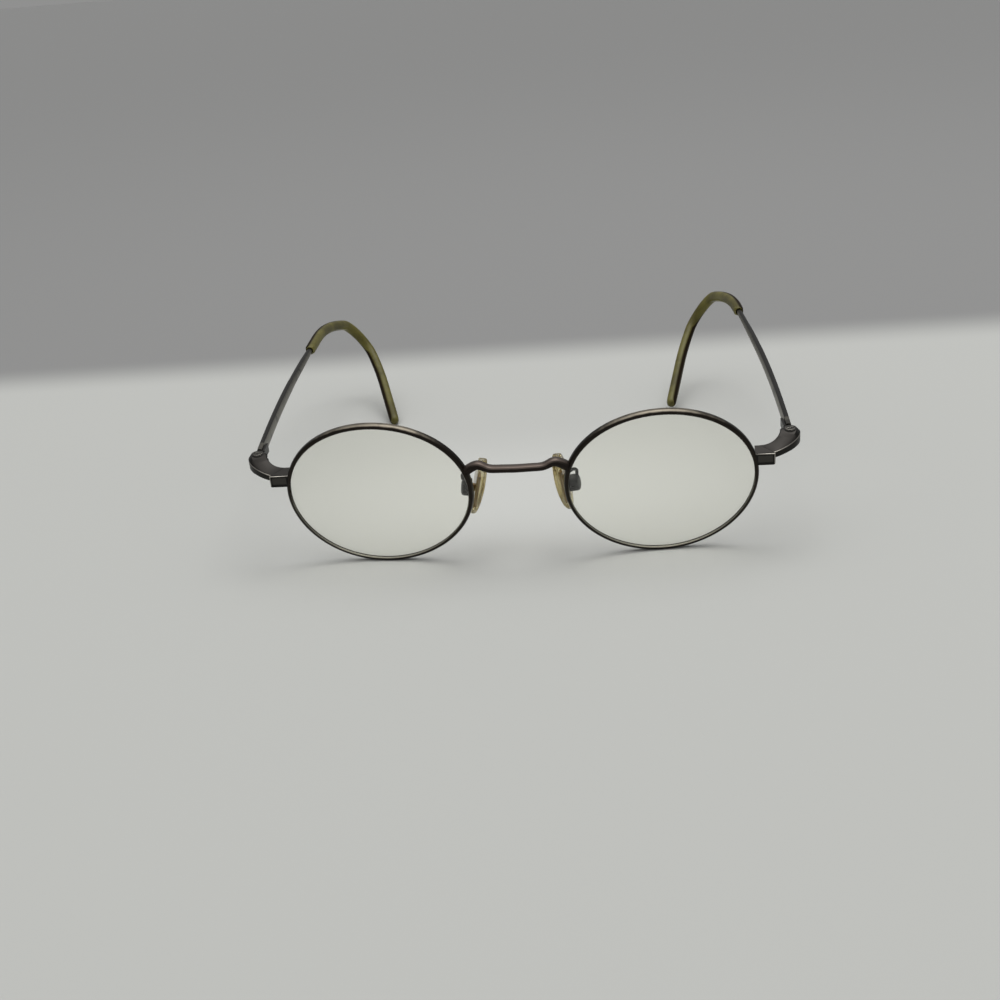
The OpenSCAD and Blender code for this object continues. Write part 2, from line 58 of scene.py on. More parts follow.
# Camera, table and light
#
# The glasses stand open on a pale satin table whose far part falls into grey shade.
# The light is a soft ceiling, much the brightest straight overhead, and one panel above and
# behind that throws the soft contact shadows towards the camera.

CAMERA_LENS = 54
CAMERA_AT = (0.035251, -0.411162, 0.150144)
CAMERA_TURN = (68.5409, 4.5564, 4.6738)

scene = bpy.context.scene
scene.view_settings.view_transform = "Standard"

camera_data = bpy.data.cameras.new("camera")
camera_data.lens = CAMERA_LENS
camera_data.sensor_width = 36
camera_data.clip_start = 0.01
camera = bpy.data.objects.new("camera", camera_data)
camera.location = CAMERA_AT
camera.rotation_euler = [math.radians(turn) for turn in CAMERA_TURN]
scene.collection.objects.link(camera)
scene.camera = camera


def linear(colour):
    """The linear red, green, blue and alpha of an sRGB colour such as 'c3a27f'."""
    parts = [int(colour[i:i + 2], 16) / 255 for i in (0, 2, 4)]
    return [c / 12.92 if c <= 0.04045 else ((c + 0.055) / 1.055) ** 2.4 for c in parts] + [1]


def add(material, kind, links=None, **settings):
    """Adds a node: links goes from input names or numbers to what feeds or sets them."""
    tree = material.node_tree
    made = tree.nodes.new(kind)
    for name, value in settings.items():
        setattr(made, name, value)
    for name, value in (links or {}).items():
        if isinstance(value, bpy.types.NodeSocket):
            tree.links.new(value, made.inputs[name])
        else:
            made.inputs[name].default_value = value
    return made


def blank_material(name):
    """A new material, its Principled node and a socket of Object coordinates."""
    material = bpy.data.materials.new(name)
    material.use_nodes = True
    shader = material.node_tree.nodes["Principled BSDF"]
    return material, shader, add(material, "ShaderNodeTexCoord").outputs["Object"]


TABLE_SIZE = 4
TABLE_PALE = "c0c1be"
TABLE_PAINTED_LIGHT = "cbccc9"
TABLE_SHADE = "8e8e8e"
SHADE_FROM = 0.098
SHADE_TO = 0.136
SHADE_SLANT = -0.02
POOL_SHIFT = (0, 0.4, 0)
POOL_SCALE = (9, 16, 0)

table_bm = bmesh.new()
bmesh.ops.create_grid(table_bm, x_segments=2, y_segments=2, size=TABLE_SIZE)
table_mesh = bpy.data.meshes.new("table")
table_bm.to_mesh(table_mesh)
table_bm.free()
table = bpy.data.objects.new("table", table_mesh)
scene.collection.objects.link(table)

# Satin laminate: an even pale grey without a mirror image. A painted pool of light makes it a
# little paler between the lenses, and its far part is painted grey shade.
table_finish, shader, place = blank_material("satin_laminate_table")
axes = add(table_finish, "ShaderNodeSeparateXYZ", {0: place})
slant = add(table_finish, "ShaderNodeMath",
            {0: axes.outputs["X"], 1: SHADE_SLANT, 2: axes.outputs["Y"]},
            operation="MULTIPLY_ADD")
shade = add(table_finish, "ShaderNodeMapRange",
            {"Value": slant.outputs[0], "From Min": SHADE_FROM, "From Max": SHADE_TO},
            interpolation_type="SMOOTHSTEP")
centred = add(table_finish, "ShaderNodeMapping",
              {0: place, "Location": POOL_SHIFT, "Scale": POOL_SCALE})
away = add(table_finish, "ShaderNodeVectorMath", {0: centred.outputs[0]}, operation="LENGTH")
# Painted light: a paler pool on the table in front of and between the lenses.
light_pool_mask = add(table_finish, "ShaderNodeMapRange",
           {"Value": away.outputs["Value"], "From Min": 0.1, "From Max": 1,
            "To Min": 1, "To Max": 0}, interpolation_type="SMOOTHSTEP")
pale = add(table_finish, "ShaderNodeMix",
           {"Factor": light_pool_mask.outputs["Result"], "A": linear(TABLE_PALE), "B": linear(TABLE_PAINTED_LIGHT)},
           data_type="RGBA")
grey = add(table_finish, "ShaderNodeMix",
           {"Factor": shade.outputs["Result"], "A": pale.outputs["Result"],
            "B": linear(TABLE_SHADE)}, data_type="RGBA")
table_finish.node_tree.links.new(grey.outputs["Result"], shader.inputs["Base Color"])
shader.inputs["Roughness"].default_value = 0.6
shader.inputs["Specular IOR Level"].default_value = 0.2
table_mesh.materials.append(table_finish)

SKY_LOW = 0.28
SKY_TOP = 1.8
SKY_FALL = 4
SKY_TINT = (1, 1, 0.99, 1)
PANEL_SIZE = (0.5, 0.4)
PANEL_AT = (0.1, 0.25, 0.8)
PANEL_TURN = (-19, 7, 0)
PANEL_POWER = 1.1

world = bpy.data.worlds.new("soft_ceiling")
scene.world = world
world.use_nodes = True
sky = world.node_tree.nodes["Background"]
up = add(world, "ShaderNodeTexCoord").outputs["Generated"]
height = add(world, "ShaderNodeSeparateXYZ", {0: up}).outputs["Z"]
overhead = add(world, "ShaderNodeMath", {0: height, 1: 0.0}, operation="MAXIMUM")
peak = add(world, "ShaderNodeMath", {0: overhead.outputs[0], 1: SKY_FALL}, operation="POWER")
glow = add(world, "ShaderNodeMath", {0: peak.outputs[0], 1: SKY_TOP, 2: SKY_LOW},
           operation="MULTIPLY_ADD")
world.node_tree.links.new(glow.outputs[0], sky.inputs["Strength"])
sky.inputs["Color"].default_value = SKY_TINT

panel_data = bpy.data.lights.new("panel", "AREA")
panel_data.shape = "RECTANGLE"
panel_data.size, panel_data.size_y = PANEL_SIZE
panel_data.energy = PANEL_POWER
panel = bpy.data.objects.new("panel", panel_data)
panel.location = PANEL_AT
panel.rotation_euler = Euler([math.radians(turn) for turn in PANEL_TURN])
scene.collection.objects.link(panel)

# Eyewires
#
# Each is a length of grooved nickel-silver wire bent to an oval and closed by a screw at the
# temple. It is plated nearly black, and its lighter tone where it faces up and forwards is
# partly rubbed wear and partly a painted highlight.

SIDES = ("left", "right")
HIGHLIGHT_AND_WEAR_WAY = (0, -0.4, 0.92)
GRAIN_MM = 0.125
RIM_FULLER = 0.00017
LIP_PAINTED_HIGHLIGHT = "8a887c"
LIP_CENTRE = (0.0352, 0.0186)


def plating(name, dark, rubbed_and_highlight, rough, band=(0.92, 1.14), cloud_mm=2.5):
    """Dark plated metal, lighter where it faces up and forwards: partly rubbed wear, partly a
    painted highlight.
    """
    material, shader, place = blank_material(name)
    facing = add(material, "ShaderNodeTexCoord").outputs["Normal"]
    # Painted highlight and wear: the lighter tone is laid where the surface faces up and
    # forwards.
    highlight_facing = add(material, "ShaderNodeVectorMath", {0: facing, 1: HIGHLIGHT_AND_WEAR_WAY},
                      operation="DOT_PRODUCT").outputs["Value"]
    cloud = add(material, "ShaderNodeTexNoise",
                {"Vector": place, "Scale": 1000 / cloud_mm, "Detail": 4, "Roughness": 0.6})
    wear_and_highlight_spread = add(material, "ShaderNodeMath",
                {0: cloud.outputs["Fac"], 1: 0.35, 2: highlight_facing}, operation="MULTIPLY_ADD")
    wear_and_highlight = add(material, "ShaderNodeMapRange",
              {"Value": wear_and_highlight_spread.outputs[0], "From Min": band[0], "From Max": band[1]},
              interpolation_type="SMOOTHSTEP")
    metal = add(material, "ShaderNodeMix",
                {"Factor": wear_and_highlight.outputs["Result"], "A": linear(dark), "B": linear(rubbed_and_highlight)},
                data_type="RGBA")
    # The plating's own grain is finer, and is drawn at an eighth of a millimetre so it shows.
    grain = add(material, "ShaderNodeTexNoise",
                {"Vector": place, "Scale": 1000 / GRAIN_MM, "Detail": 2})
    bump = add(material, "ShaderNodeBump",
               {"Height": grain.outputs["Fac"], "Strength": 0.2, "Distance": 0.00002})
    gloss = add(material, "ShaderNodeMapRange",
                {"Value": cloud.outputs["Fac"], "To Min": rough - 0.06, "To Max": rough + 0.08})
    links = material.node_tree.links
    links.new(metal.outputs["Result"], shader.inputs["Base Color"])
    links.new(bump.outputs["Normal"], shader.inputs["Normal"])
    links.new(gloss.outputs["Result"], shader.inputs["Roughness"])
    shader.inputs["Metallic"].default_value = 1
    return material


def merged_copy(cad_name):
    """A bmesh of a CAD node with its doubles merged, for a smoother piece of the same shape."""
    bm = bmesh.new()
    bm.from_mesh(frame["nodes"][cad_name].data)
    bmesh.ops.remove_doubles(bm, verts=bm.verts, dist=2e-6)
    return bm


def place_piece(bm, name, cad_name, slot, *materials, corner=35):
    """Makes a piece of the bmesh that stands for a CAD node and rides on that node's body."""
    mesh = bpy.data.meshes.new(name)
    for face in bm.faces:
        face.smooth = True
    for edge in bm.edges:
        edge.smooth = edge.calc_face_angle(0) < math.radians(corner)
    bm.to_mesh(mesh)
    bm.free()
    for material in materials:
        mesh.materials.append(material)
    piece = bpy.data.objects.new(name, mesh)
    scene.collection.objects.link(piece)
    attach(piece, frame["nodes"][cad_name]["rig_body"])
    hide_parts(cad_name)
    return piece


def drawn_wire(name, cad_name, slot, *materials, corner=52, crease=1.0, fuller=0.0, until=1.0):
    """A piece from a CAD node that was swept as rings, made fuller up to a Y and subdivided."""
    bm = merged_copy(cad_name)
    bmesh.ops.join_triangles(bm, faces=bm.faces, angle_face_threshold=3.1,
                             angle_shape_threshold=3.1)
    bm.normal_update()
    for vert in bm.verts:
        vert.co += vert.normal * fuller * min(max((until - vert.co.y) / 0.01, 0), 1)
        vert.co.z = max(vert.co.z, 0)
    creases = bm.edges.layers.float.new("crease_edge")
    for edge in bm.edges:
        if edge.calc_face_angle(0) > math.radians(corner):
            edge[creases] = crease
    piece = place_piece(bm, name, cad_name, slot, *materials, corner=52)
    smooth = piece.modifiers.new("smooth", "SUBSURF")
    smooth.levels = smooth.render_levels = 2
    return piece


# Pewter plate over nickel silver: nearly black, with a warm tan line along the upper curves,
# partly rubbed wear and partly a painted highlight, and a painted highlight in bare grey along
# the up-facing inner lip of the lower half.
rim_plate = plating("antique_pewter_plate", "2e2a26", "7d766a", 0.3, (0.95, 1.18))
shader = rim_plate.node_tree.nodes["Principled BSDF"]
plated = shader.inputs["Base Color"].links[0].from_socket
spot = add(rim_plate, "ShaderNodeTexCoord")
axes = add(rim_plate, "ShaderNodeSeparateXYZ", {0: spot.outputs["Object"]})
which = add(rim_plate, "ShaderNodeMath", {0: axes.outputs["X"]}, operation="SIGN")
aside = add(rim_plate, "ShaderNodeMath",
            {0: which.outputs[0], 1: -LIP_CENTRE[0], 2: axes.outputs["X"]},
            operation="MULTIPLY_ADD")
above = add(rim_plate, "ShaderNodeMath", {0: axes.outputs["Z"], 1: LIP_CENTRE[1]},
            operation="SUBTRACT")
outwards = add(rim_plate, "ShaderNodeCombineXYZ",
               {"X": aside.outputs[0], "Z": above.outputs[0]})
outwards = add(rim_plate, "ShaderNodeVectorMath", {0: outwards.outputs[0]},
               operation="NORMALIZE")
facing = add(rim_plate, "ShaderNodeVectorMath",
             {0: outwards.outputs[0], 1: spot.outputs["Normal"]}, operation="DOT_PRODUCT")
# Painted highlight: the inner lip of the lower half, which faces up, is laid in pale grey.
inwards = add(rim_plate, "ShaderNodeMapRange",
              {"Value": facing.outputs["Value"], "From Min": -0.5, "From Max": -0.75},
              interpolation_type="SMOOTHSTEP")
lower = add(rim_plate, "ShaderNodeMapRange",
            {"Value": above.outputs[0], "From Min": 0.002, "From Max": -0.006},
            interpolation_type="SMOOTHSTEP")
lit_lip_mask = add(rim_plate, "ShaderNodeMath",
          {0: inwards.outputs["Result"], 1: lower.outputs["Result"]}, operation="MULTIPLY")
metal = add(rim_plate, "ShaderNodeMix",
            {"Factor": lit_lip_mask.outputs[0], "A": plated, "B": linear(LIP_PAINTED_HIGHLIGHT)}, data_type="RGBA")
rim_plate.node_tree.links.new(metal.outputs["Result"], shader.inputs["Base Color"])

for side in SIDES:
    drawn_wire(side + "_rim", side + "_eyewire", "frame_metal", rim_plate, fuller=RIM_FULLER)

# Lenses
#
# Each is a curved disc of cast clear resin, cut to the eyewire's oval with a raised V round
# its edge. The cut edge is ground and not polished, and the eyewire closes on it.

LENS_A = 0.0227
LENS_B = 0.018
EYE_X = 0.035
LENS_SPHERE = 0.095
LENS_THICK = 0.0015
LENS_RINGS = 9
EDGE_GAP = 0.00005
V_OUT = 0.00034
WRAP = math.radians(4.8)
STAND = (Matrix.Translation((0.00148086, -0.0716074, 0.0186134))
         @ Matrix.Rotation(math.radians(6.63695), 4, "X"))


def onto_side(bm, side, local):
    """Moves a shape drawn for the wearer's left into place, mirrored for the right."""
    mirror = Matrix.Diagonal((1 if side == "left" else -1, 1, 1, 1))
    bmesh.ops.transform(bm, matrix=STAND @ mirror @ local, verts=bm.verts)
    bmesh.ops.recalc_face_normals(bm, faces=bm.faces)


def moved_verts(made):
    """The vertices among what an operator made."""
    return [part for part in made["geom"] if isinstance(part, bmesh.types.BMVert)]


def sphere_depth(at):
    """How far the lens sphere has fallen back from its front at a point of the face."""
    return LENS_SPHERE - math.sqrt(LENS_SPHERE ** 2 - at.x ** 2 - at.z ** 2)


# Allyl resin, cast and polished: clear, with the faintest warm tint, and a weak clean shine.
resin, shader, place = blank_material("clear_cast_resin")
shader.inputs["Base Color"].default_value = linear("fefef8")
shader.inputs["Transmission Weight"].default_value = 1
shader.inputs["IOR"].default_value = 1.47
shader.inputs["Roughness"].default_value = 0.0
clear = add(resin, "ShaderNodeBsdfTransparent", {"Color": linear("fdfdfa")})
paths = add(resin, "ShaderNodeLightPath")
both = add(resin, "ShaderNodeMixShader",
           {0: paths.outputs["Is Shadow Ray"], 1: shader.outputs[0], 2: clear.outputs[0]})
resin.node_tree.links.new(both.outputs[0],
                          resin.node_tree.nodes["Material Output"].inputs["Surface"])

# The same resin left from the grinding wheel: a matt pale grey line inside the eyewire.
ground_edge, shader, place = blank_material("ground_lens_edge")
shader.inputs["Base Color"].default_value = linear("85867a")
shader.inputs["Roughness"].default_value = 0.7

for side in SIDES:
    bm = bmesh.new()
    bmesh.ops.create_circle(bm, segments=96, radius=1, cap_ends=True)
    bmesh.ops.rotate(bm, verts=bm.verts, matrix=Matrix.Rotation(math.radians(90), 3, "X"))
    for _ in range(LENS_RINGS):
        bmesh.ops.inset_individual(bm, faces=[f for f in bm.faces if len(f.verts) > 4],
                                   thickness=0.1)
    bmesh.ops.poke(bm, faces=[f for f in bm.faces if len(f.verts) > 4])
    bmesh.ops.scale(bm, vec=(LENS_A - EDGE_GAP, 1, LENS_B - EDGE_GAP), verts=bm.verts)
    for vert in bm.verts:
        vert.co.y = sphere_depth(vert.co) - LENS_THICK / 2
    back = bmesh.ops.extrude_face_region(bm, geom=bm.faces[:])
    bmesh.ops.translate(bm, vec=(0, LENS_THICK, 0), verts=moved_verts(back))
    rungs = [e for e in bm.edges
             if abs((e.verts[0].co - e.verts[1].co).y) > LENS_THICK * 0.98]
    bmesh.ops.subdivide_edges(bm, edges=rungs, cuts=3, use_grid_fill=True)
    rim_verts = [v for v in bm.verts
                 if (v.co.x / LENS_A) ** 2 + (v.co.z / LENS_B) ** 2 > 0.99]
    for face in bm.faces:
        face.material_index = int(all(v in rim_verts for v in face.verts))
    for vert in rim_verts:
        if abs(vert.co.y - sphere_depth(vert.co)) < LENS_THICK * 0.05:
            away = Vector((vert.co.x / LENS_A ** 2, 0, vert.co.z / LENS_B ** 2))
            vert.co += away.normalized() * V_OUT
    onto_side(bm, side, Matrix.Translation((EYE_X, 0, 0)) @ Matrix.Rotation(WRAP, 4, "Z"))
    place_piece(bm, side + "_resin_lens", side + "_lens", "lens_glass", resin, ground_edge)

# Bridge
#
# One bar with a raised hump at each end, forged from the same wire stock and brazed to both
# eyewires.

BRIDGE_FULLER = 0.00022

# Bronze-toned plate, rubbed back further than the eyewires': warm brown along its top, partly
# wear and partly a painted highlight.
bridge_plate = plating("bronze_plate_wear_and_highlight", "2a2522", "5f554f", 0.36, (0.6, 0.98))
drawn_wire("bridge_bar", "bridge", "bridge_metal", bridge_plate, corner=24, crease=0.8,
           fuller=BRIDGE_FULLER)

# Endpieces
#
# Each is die-struck nickel silver in one piece: a framed plate, the upper half of the closing
# block, and an arm that sweeps up to the hinge barrel. Its edges are filed round, and the
# barrel is slotted for the tongue and counterbored for the screw.

PLATE = ((0.05755, 0.00398, 0.0018), (0.06231, 0.00478, 0.0048))
FRAME = 0.0004
RECESS = 0.00022
RECESS_WALL = 0.00002
RECESS_SHADE_WIDTH = 0.00018
LOW_CORNER = 0.0005
OUTER_ARRIS = 0.0003
TOP_ARRIS = 0.00018
BLOCK = ((0.05755, 0.0047, 0.00332), (0.0620, 0.00778, 0.0053))
HINGE = Vector((0.0665096, 0.0122791, 0))
BARREL_LOW = 0.0043
BARREL_TOP = 0.0074
BARREL_R = 0.00245
BARREL_CROWN = 0.66
RIDGE = 0.0064
RIDGE_ARRIS = 0.00013
ARM_STEPS = 16
SLOT = (0.0052, 0.0065)
TONGUE_ROOM = 0.0018
SCREW_HEAD = 0.00122
NEAR = 1e-6


def box_between(bm, low, high):
    """A box between two corners, and its vertices."""
    low, high = Vector(low), Vector(high)
    at = Matrix.Translation((low + high) / 2) @ Matrix.Diagonal((*(high - low), 1))
    return bmesh.ops.create_cube(bm, size=1, matrix=at)["verts"]


def file_edges(bm, edges, width, finish=0):
    """Rounds edges over, and gives the new faces a finish."""
    made = bmesh.ops.bevel(bm, geom=edges, offset=width, offset_type="OFFSET", affect="EDGES",
                           segments=2, profile=0.5, material=-1, clamp_overlap=True)
    for face in made["faces"]:
        face.material_index = finish


def edges_where(bm, holds):
    """The edges of a bmesh whose two ends both hold to a rule."""
    return [edge for edge in bm.edges if all(holds(vert.co) for vert in edge.verts)]


def cut_away(bm, *tools):
    """Cuts each closed tool out of a closed bmesh, and frees the tools."""
    for tool in tools:
        objects = []
        for shape in (bm, tool):
            mesh = bpy.data.meshes.new("cut")
            shape.to_mesh(mesh)
            objects.append(bpy.data.objects.new("cut", mesh))
            scene.collection.objects.link(objects[-1])
        cut = objects[0].modifiers.new("cut", "BOOLEAN")
        cut.operation = "DIFFERENCE"
        cut.solver = "EXACT"
        cut.object = objects[1]
        seen = objects[0].evaluated_get(bpy.context.evaluated_depsgraph_get())
        done = bpy.data.meshes.new_from_object(seen)
        bm.clear()
        bm.from_mesh(done)
        for used in objects:
            mesh = used.data
            bpy.data.objects.remove(used)
            bpy.data.meshes.remove(mesh)
        bpy.data.meshes.remove(done)
        tool.free()


def framed_plate():
    """The front plate: a raised frame, a recess with painted shade on its walls and along its
    foot, filed edges.
    """
    bm = bmesh.new()
    (_, front_y, low_z), (outer_x, _, top_z) = PLATE
    box_between(bm, *PLATE)
    front = min(bm.faces, key=lambda f: f.calc_center_median().y)
    bmesh.ops.inset_region(bm, faces=[front], thickness=FRAME, use_even_offset=True)
    walls = bmesh.ops.inset_region(bm, faces=[front], thickness=RECESS_WALL,
                                   use_even_offset=True)["faces"]
    bmesh.ops.translate(bm, vec=(0, RECESS, 0), verts=front.verts)
    foot = bmesh.ops.inset_region(bm, faces=[front], thickness=RECESS_SHADE_WIDTH,
                                  use_even_offset=True)["faces"]
    # Painted shade: the recess walls and a band along its foot take the near-black material.
    for face in walls + foot:
        face.material_index = 3
    front.material_index = 2
    file_edges(bm, edges_where(bm, lambda at: abs(at.z - low_z) < NEAR
                               and abs(at.x - outer_x) < NEAR), LOW_CORNER)
    file_edges(bm, edges_where(bm, lambda at: at.x > outer_x - NEAR and at.y < front_y + NEAR),
               OUTER_ARRIS, 1)
    top_edges = edges_where(bm, lambda at: at.z > top_z - NEAR)
    file_edges(bm, [e for e in top_edges if e.calc_face_angle(0) > 1], TOP_ARRIS, 1)
    return bm


def upper_block():
    """The upper half of the closing block, its top sloping down to the plate."""
    bm = bmesh.new()
    for vert in box_between(bm, *BLOCK):
        if vert.co.z > 0.005 and vert.co.y < 0.005:
            vert.co.z = PLATE[1][2] - 0.00002
    return bm


def curve_point(points, t):
    """A point on a cubic curve in plan."""
    a, b, c, d = (Vector(p) for p in points)
    u = 1 - t
    return a * u ** 3 + b * 3 * u * u * t + c * 3 * u * t * t + d * t ** 3


def arm_section(t):
    """The six corners of the arm, a share t of the way from the block to the hinge axis."""
    outer = curve_point(((0.0621, 0.0047), (0.0654, 0.0066),
                         (HINGE.x + BARREL_R, HINGE.y - 0.0036),
                         (HINGE.x + BARREL_R, HINGE.y)), t)
    inner = curve_point(((0.0590, 0.00778), (0.0626, 0.0080),
                         (HINGE.x - BARREL_R, HINGE.y - 0.0020),
                         (HINGE.x - BARREL_R, HINGE.y)), t)
    across = (inner - outer).normalized()
    rise = t * t * (3 - 2 * t)
    plate_top = PLATE[1][2]
    low = BLOCK[0][2] + (BARREL_LOW - BLOCK[0][2]) * rise
    ridge = plate_top + (RIDGE - plate_top) * rise
    crown = plate_top + 0.00012 + (BARREL_TOP - plate_top - 0.00012) * rise
    top = BLOCK[1][2] + (BARREL_TOP - BLOCK[1][2]) * rise
    return [(*outer, low), (*outer, ridge), (*(outer + across * 0.0009), crown),
            (*(inner - across * 0.0003), top), (*inner, top - 0.0003 * rise), (*inner, low)]


def tongue_room():
    """The room that the tongue turns in, open to the back and inwards."""
    bm = bmesh.new()
    bmesh.ops.create_circle(bm, segments=48, radius=TONGUE_ROOM, cap_ends=True)
    for vert in bm.verts:
        if vert.co.x < 0.001 and vert.co.y > -0.00105:
            vert.co *= 4
    raised = bmesh.ops.extrude_face_region(bm, geom=bm.faces[:])
    bmesh.ops.translate(bm, vec=(0, 0, SLOT[1] - SLOT[0]), verts=moved_verts(raised))
    bmesh.ops.translate(bm, vec=HINGE + Vector((0, 0, SLOT[0])), verts=bm.verts)
    bmesh.ops.recalc_face_normals(bm, faces=bm.faces)
    return bm


def swept_arm():
    """The arm, slotted for the tongue, with a filed ridge along its upper front edge, pale as
    bare metal and as a painted highlight.
    """
    bm = bmesh.new()
    bmesh.ops.create_grid(bm, x_segments=ARM_STEPS, y_segments=6, size=1)
    for vert in bm.verts:
        corner = round((vert.co.y + 1) * 3) % 6
        vert.co = arm_section((vert.co.x + 1) / 2)[corner]
    bmesh.ops.remove_doubles(bm, verts=bm.verts, dist=1e-7)
    bmesh.ops.holes_fill(bm, edges=bm.edges, sides=6)
    bmesh.ops.recalc_face_normals(bm, faces=bm.faces)
    cut_away(bm, tongue_room())
    ridge = [Vector(arm_section(step / ARM_STEPS)[1]) for step in range(ARM_STEPS - 1)]
    edges = edges_where(bm, lambda at: any((at - spot).length < 1e-5 for spot in ridge))
    file_edges(bm, [e for e in edges if e.calc_face_angle(0) > 0.3], RIDGE_ARRIS, 1)
    return bm


def hinge_barrel():
    """The barrel, drawn in towards its top, slotted, and counterbored for the screw."""
    bm = bmesh.new()
    middle = HINGE + Vector((0, 0, (RIDGE + BARREL_LOW) / 2))
    bmesh.ops.create_cone(bm, cap_ends=True, segments=64, radius1=BARREL_R, radius2=BARREL_R,
                          depth=RIDGE - BARREL_LOW, matrix=Matrix.Translation(middle))
    lid = max(bm.faces, key=lambda f: f.calc_center_median().z)
    crown = moved_verts(bmesh.ops.extrude_face_region(bm, geom=[lid]))
    bmesh.ops.delete(bm, geom=[lid], context="FACES_ONLY")
    bmesh.ops.translate(bm, vec=(0, 0, BARREL_TOP - RIDGE), verts=crown)
    bmesh.ops.scale(bm, vec=(BARREL_CROWN, BARREL_CROWN, 1), verts=crown,
                    space=Matrix.Translation(-HINGE))
    bmesh.ops.recalc_face_normals(bm, faces=bm.faces)
    counterbore = bmesh.new()
    bmesh.ops.create_cone(counterbore, cap_ends=True, segments=32, radius1=SCREW_HEAD,
                          radius2=SCREW_HEAD, depth=0.0008,
                          matrix=Matrix.Translation(HINGE + Vector((0, 0, BARREL_TOP))))
    cut_away(bm, tongue_room(), counterbore)
    return bm


# Pewter plate over struck metal: dark grey and even. The recess is left matt by the die, and
# near-black painted shade lies on its walls and along its foot. The filed edges are rubbed
# through to pale bare metal, partly as a painted highlight.
dark_plate = plating("dark_pewter_plate", "2c2b29", "343230", 0.38)
# Painted highlight and wear: filed edges and screw rims take this pale metal, standing partly
# for bright edge highlights.
bare_edge_and_highlight = plating("rubbed_edge_and_painted_highlight", "8a8680", "b4afa6", 0.3)
matt_recess = plating("matt_struck_recess", "464441", "4e4b47", 0.45)
recess_shade_paint, shader, place = blank_material("painted_recess_shade")
shader.inputs["Base Color"].default_value = linear("12110f")
shader.inputs["Roughness"].default_value = 0.9

for side in SIDES:
    whole = bmesh.new()
    for shape in (framed_plate(), upper_block(), swept_arm(), hinge_barrel()):
        part = bpy.data.meshes.new("part")
        shape.to_mesh(part)
        whole.from_mesh(part)
        bpy.data.meshes.remove(part)
        shape.free()
    onto_side(whole, side, Matrix.Identity(4))
    place_piece(whole, side + "_endpiece_arm", side + "_endpiece", "frame_metal",
                dark_plate, bare_edge_and_highlight, matt_recess, recess_shade_paint)

# Closing blocks, closing screws and hinge screws
#
# The lower half of each closing block is brazed to the eyewire's loose end, and a screw pulls
# it up to the endpiece. A second screw down the barrel is the hinge's pin.

SCREW_ARRIS = 0.00006
FILED = 0.00014


def struck(name, cad_name, slot, *materials, edge=FILED):
    """A piece from a CAD node with flat faces, and edges filed round in its last finish."""
    bm = merged_copy(cad_name)
    bmesh.ops.dissolve_limit(bm, angle_limit=math.radians(1), verts=bm.verts, edges=bm.edges)
    piece = place_piece(bm, name, cad_name, slot, *materials)
    filed = piece.modifiers.new("filed_edges", "BEVEL")
    filed.width = edge
    filed.segments = 2
    filed.material = len(materials) - 1
    filed.limit_method = "ANGLE"
    filed.angle_limit = math.radians(35)
    filed.harden_normals = True
    return piece


# Turned and blued steel: a dark head whose rim and slot are worn bright, partly as a painted
# highlight.
screw_steel = plating("turned_screw_steel", "2b2a28", "4b4945", 0.34)
for side in SIDES:
    struck(side + "_lower_block", side + "_closing_block", "frame_metal", dark_plate)
    for name, cad_name in (("_lock_screw", "_closing_screw"), ("_pivot_screw", "_hinge_screw")):
        struck(side + name, side + cad_name, "screw_steel", screw_steel, bare_edge_and_highlight,
               edge=SCREW_ARRIS)

# Hinge leaves and temples
#
# A stamped tongue in the barrel carries a flat strip of nickel silver that tapers into the
# round core of the ear hook.

TEMPLE_DARK = "2c2b29"
TEMPLE_WORN = "757269"
LEAF_PATCH = (-0.0574, -0.0486)
MOTTLE_MM = 1.43
NICK_MM = 3.85
TEMPLE_FULLER = 0.0002
FULL_UNTIL = 0.025

# The same dark plate, scuffed to a mottled grey along the inner face, with a few dark nicks
# and a paler patch where the hinge leaf is fixed.
temple_plate, shader, place = blank_material("scuffed_temple_plate")
facing = add(temple_plate, "ShaderNodeTexCoord").outputs["Normal"]
facing = add(temple_plate, "ShaderNodeSeparateXYZ", {0: facing}).outputs["X"]
spot = add(temple_plate, "ShaderNodeSeparateXYZ", {0: place})
which = add(temple_plate, "ShaderNodeMath", {0: spot.outputs["X"]}, operation="SIGN")
outward = add(temple_plate, "ShaderNodeMath", {0: facing, 1: which.outputs[0]},
              operation="MULTIPLY")
mottle = add(temple_plate, "ShaderNodeTexNoise",
             {"Vector": place, "Scale": 1000 / MOTTLE_MM, "Detail": 5, "Roughness": 0.75})
nick = add(temple_plate, "ShaderNodeTexNoise",
           {"Vector": place, "Scale": 1000 / NICK_MM, "Detail": 1})
scuffed = add(temple_plate, "ShaderNodeMath",
              {0: outward.outputs[0], 1: -1.0, 2: mottle.outputs["Fac"]},
              operation="MULTIPLY_ADD")
scuffed = add(temple_plate, "ShaderNodeMapRange",
              {"Value": scuffed.outputs[0], "From Min": 0.85, "From Max": 1.6},
              interpolation_type="SMOOTHSTEP")
patch = add(temple_plate, "ShaderNodeMapRange",
            {"Value": spot.outputs["Y"], "From Min": LEAF_PATCH[1], "From Max": LEAF_PATCH[0],
             "To Min": 0, "To Max": 0.7, "Steps": 1}, interpolation_type="STEPPED")
worn = add(temple_plate, "ShaderNodeMath",
           {0: scuffed.outputs["Result"], 1: patch.outputs["Result"]}, operation="MAXIMUM")
sound = add(temple_plate, "ShaderNodeMapRange",
            {"Value": nick.outputs["Fac"], "From Min": 0.68, "From Max": 0.6, "To Min": 0.35})
worn = add(temple_plate, "ShaderNodeMath", {0: worn.outputs[0], 1: sound.outputs["Result"]},
           operation="MULTIPLY")
tone = add(temple_plate, "ShaderNodeMix",
           {"Factor": worn.outputs[0], "A": linear(TEMPLE_DARK), "B": linear(TEMPLE_WORN)},
           data_type="RGBA")
